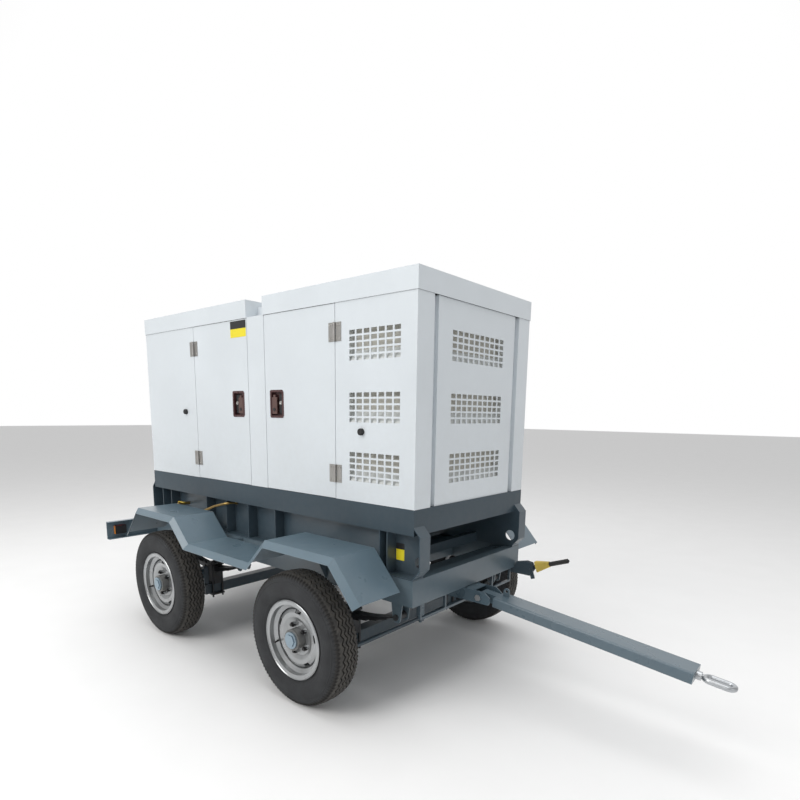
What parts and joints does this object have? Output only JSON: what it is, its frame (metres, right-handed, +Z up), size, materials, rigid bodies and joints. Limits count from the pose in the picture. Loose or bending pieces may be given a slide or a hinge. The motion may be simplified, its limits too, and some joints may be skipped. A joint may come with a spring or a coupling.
{
  "type": "towable diesel generator",
  "caption": "Diesel generating set in a white sound-proof canopy on a grey four-wheel drawbar trailer with fenders, leaf springs and a parking brake.",
  "frame": {"origin": "on the ground, under the middle of the whole object", "axes": "+X towards the towing eye, +Y to the left, +Z up"},
  "size_m": [4.289, 1.9184, 2.319],
  "materials": {
    "base_paint": "slate blue-grey paint",
    "spring_steel": "dark steel",
    "bare_steel": "bare steel",
    "fender_paint": "lighter slate paint, slightly worn",
    "lamp_red": "red lens",
    "tank_paint": "black paint",
    "brass_pipe": "dull brass",
    "canopy_paint": "semi-gloss cool white paint",
    "stainless": "stainless steel",
    "black_rubber": "black rubber",
    "engine_paint": "dark paint on cast iron",
    "alternator_paint": "grey paint on cast iron",
    "radiator_black": "black painted aluminium",
    "silencer_steel": "heat-tinted steel",
    "battery_case": "black plastic case",
    "cabinet_paint": "light grey paint",
    "rim_silver": "silver paint",
    "tyre_rubber": "black rubber with a dusty tread",
    "drawbar_paint": "lighter slate paint",
    "brake_cover": "yellow cover on a black grip",
    "latch_black": "black plastic",
    "machined_steel": "machined steel",
    "fan_plastic": "black plastic",
    "handle_yellow": "yellow paint",
    "stop_red": "red plastic"
  },
  "bodies": {
    "chassis": {"chassis_frame": "base_paint", "tongue_guide_frame": "base_paint", "leaf_springs": "spring_steel", "axle_beams": "base_paint", "axle_clamps": "spring_steel", "steering_pins": "bare_steel", "fender_right": "fender_paint", "fender_left": "fender_paint", "light_bar": "fender_paint", "tail_lamps": "lamp_red", "skid_deck": "base_paint", "skid_frame": "base_paint", "fuel_tank": "tank_paint", "oil_drain_pipe": "brass_pipe", "roof_front": "canopy_paint", "roof_rear": "canopy_paint", "side_panels_right": "canopy_paint", "side_panels_left": "canopy_paint", "end_grille_panels": "canopy_paint", "door_hinge_halves": "stainless", "door_buffers": "black_rubber", "handbrake_bracket": "base_paint", "engine_block": "engine_paint", "alternator_housing": "alternator_paint", "radiator": "radiator_black", "silencer": "silencer_steel", "air_cleaner": "tank_paint", "battery": "battery_case", "control_cabinet": "cabinet_paint", "fan_belt": "black_rubber"},
    "wheel_assembly_front_right": {"wheel_front_right": "rim_silver", "tyre_front_right": "tyre_rubber"},
    "wheel_assembly_front_left": {"wheel_front_left": "rim_silver", "tyre_front_left": "tyre_rubber"},
    "wheel_assembly_rear_right": {"wheel_rear_right": "rim_silver", "tyre_rear_right": "tyre_rubber"},
    "wheel_assembly_rear_left": {"wheel_rear_left": "rim_silver", "tyre_rear_left": "tyre_rubber"},
    "knuckle_right": {"knuckle_right": "base_paint"},
    "knuckle_left": {"knuckle_left": "base_paint"},
    "tie_rod": {"tie_rod": "base_paint"},
    "tongue": {"steering_tongue": "drawbar_paint"},
    "towbar": {"drawbar": "drawbar_paint", "tow_eye": "bare_steel"},
    "handbrake": {"handbrake_lever": "brake_cover"},
    "handbrake_button": {"handbrake_button": "latch_black"},
    "crankshaft": {"crankshaft_and_rotor": "machined_steel"},
    "fan": {"cooling_fan": "fan_plastic"},
    "drain_valve_handle": {"drain_valve_handle": "handle_yellow"},
    "emergency_stop": {"emergency_stop": "stop_red"},
    "breaker_handle": {"breaker_handle": "latch_black"},
    "fuel_cap": {"fuel_cap": "latch_black"},
    "door_front_right": {"door_front_right": "canopy_paint"},
    "latch_front_right": {"latch_handle_front_right": "latch_black"},
    "door_front_left": {"door_front_left": "canopy_paint"},
    "latch_front_left": {"latch_handle_front_left": "latch_black"},
    "door_rear_right": {"door_rear_right": "canopy_paint"},
    "latch_rear_right": {"latch_handle_rear_right": "latch_black"},
    "door_rear_left": {"door_rear_left": "canopy_paint"},
    "latch_rear_left": {"latch_handle_rear_left": "latch_black"}
  },
  "joints": [
    {"name": "steering_yaw", "type": "hinge", "parent": "chassis", "child": "tongue", "pos_m": [0.1685, 0, 0.516], "axis": [0, 0, 1], "range_deg": [-17.5, 17.5]},
    {"name": "kingpin_right", "type": "hinge", "parent": "chassis", "child": "knuckle_right", "pos_m": [0.1685, -0.64, 0.3775], "axis": [0, 0, 1], "range_deg": [-18, 18]},
    {"name": "kingpin_left", "type": "hinge", "parent": "chassis", "child": "knuckle_left", "pos_m": [0.1685, 0.64, 0.3775], "axis": [0, 0, 1], "range_deg": [-18, 18]},
    {"name": "tie_rod_link", "type": "hinge", "parent": "tongue", "child": "tie_rod", "pos_m": [0.3285, 0, 0.281], "axis": [0, 0, 1], "range_deg": [-18, 18]},
    {"name": "drawbar_pitch", "type": "hinge", "parent": "tongue", "child": "towbar", "pos_m": [0.8145, 0, 0.552], "axis": [0, -1, 0], "range_deg": [0, 80]},
    {"name": "wheel_spin_front_right", "type": "hinge", "parent": "knuckle_right", "child": "wheel_assembly_front_right", "pos_m": [0.1685, -0.8665, 0.3775], "axis": [0, 1, 0], "continuous": true},
    {"name": "wheel_spin_front_left", "type": "hinge", "parent": "knuckle_left", "child": "wheel_assembly_front_left", "pos_m": [0.1685, 0.8665, 0.3775], "axis": [0, 1, 0], "continuous": true},
    {"name": "wheel_spin_rear_right", "type": "hinge", "parent": "chassis", "child": "wheel_assembly_rear_right", "pos_m": [-1.3385, -0.8665, 0.3775], "axis": [0, 1, 0], "continuous": true},
    {"name": "wheel_spin_rear_left", "type": "hinge", "parent": "chassis", "child": "wheel_assembly_rear_left", "pos_m": [-1.3385, 0.8665, 0.3775], "axis": [0, 1, 0], "continuous": true},
    {"name": "handbrake_pull", "type": "hinge", "parent": "chassis", "child": "handbrake", "pos_m": [0.8245, 0.54, 0.606], "axis": [0, -1, 0], "range_deg": [0, 55]},
    {"name": "handbrake_release", "type": "slide", "parent": "handbrake", "child": "handbrake_button", "axis": [-0.9397, 0, -0.342], "range_m": [0, 0.007], "stiffness_N_per_m": 500},
    {"name": "door_swing_front_right", "type": "hinge", "parent": "chassis", "child": "door_front_right", "pos_m": [0.1335, -0.5795, 1.268], "axis": [0, 0, 1], "range_deg": [0, 174]},
    {"name": "latch_lift_front_right", "type": "hinge", "parent": "door_front_right", "child": "latch_front_right", "pos_m": [-0.4205, -0.5655, 1.712], "axis": [-1, 0, 0], "range_deg": [0, 40], "stiffness_Nm_per_rad": 1},
    {"name": "door_swing_front_left", "type": "hinge", "parent": "chassis", "child": "door_front_left", "pos_m": [0.1335, 0.5795, 1.268], "axis": [0, 0, -1], "range_deg": [0, 174]},
    {"name": "latch_lift_front_left", "type": "hinge", "parent": "door_front_left", "child": "latch_front_left", "pos_m": [-0.4205, 0.5655, 1.712], "axis": [1, 0, 0], "range_deg": [0, 40], "stiffness_Nm_per_rad": 1},
    {"name": "door_swing_rear_right", "type": "hinge", "parent": "chassis", "child": "door_rear_right", "pos_m": [-1.3505, -0.5795, 1.268], "axis": [0, 0, -1], "range_deg": [0, 171.5]},
    {"name": "latch_lift_rear_right", "type": "hinge", "parent": "door_rear_right", "child": "latch_rear_right", "pos_m": [-0.7865, -0.5655, 1.712], "axis": [-1, 0, 0], "range_deg": [0, 40], "stiffness_Nm_per_rad": 1},
    {"name": "door_swing_rear_left", "type": "hinge", "parent": "chassis", "child": "door_rear_left", "pos_m": [-1.3505, 0.5795, 1.268], "axis": [0, 0, 1], "range_deg": [0, 171.5]},
    {"name": "latch_lift_rear_left", "type": "hinge", "parent": "door_rear_left", "child": "latch_rear_left", "pos_m": [-0.7865, 0.5655, 1.712], "axis": [1, 0, 0], "range_deg": [0, 40], "stiffness_Nm_per_rad": 1},
    {"name": "crank_spin", "type": "hinge", "parent": "chassis", "child": "crankshaft", "pos_m": [-1.7375, 0, 1.42], "axis": [1, 0, 0], "continuous": true},
    {"name": "fan_spin", "type": "hinge", "parent": "chassis", "child": "fan", "pos_m": [-1.7375, 0, 1.6], "axis": [1, 0, 0], "continuous": true},
    {"name": "emergency_stop_push", "type": "slide", "parent": "chassis", "child": "emergency_stop", "axis": [0, 1, 0], "range_m": [0, 0.005], "stiffness_N_per_m": 800},
    {"name": "breaker_toggle", "type": "hinge", "parent": "chassis", "child": "breaker_handle", "pos_m": [-0.1155, -0.507, 1.8], "axis": [1, 0, 0], "range_deg": [0, 60]},
    {"name": "fuel_cap_turn", "type": "hinge", "parent": "chassis", "child": "fuel_cap", "pos_m": [-1.2355, -0.4, 1.215], "axis": [0, 0, 1], "range_deg": [0, 90]},
    {"name": "drain_valve_turn", "type": "hinge", "parent": "chassis", "child": "drain_valve_handle", "pos_m": [-1.6705, -0.575, 0.9], "axis": [0, 0, -1], "range_deg": [0, 90]}
  ],
  "couplings": [
    {"joint": "kingpin_right", "follows": "steering_yaw", "ratio": 1},
    {"joint": "kingpin_left", "follows": "steering_yaw", "ratio": 1},
    {"joint": "tie_rod_link", "follows": "steering_yaw", "ratio": -1},
    {"joint": "fan_spin", "follows": "crank_spin", "ratio": 1.3333}
  ]
}
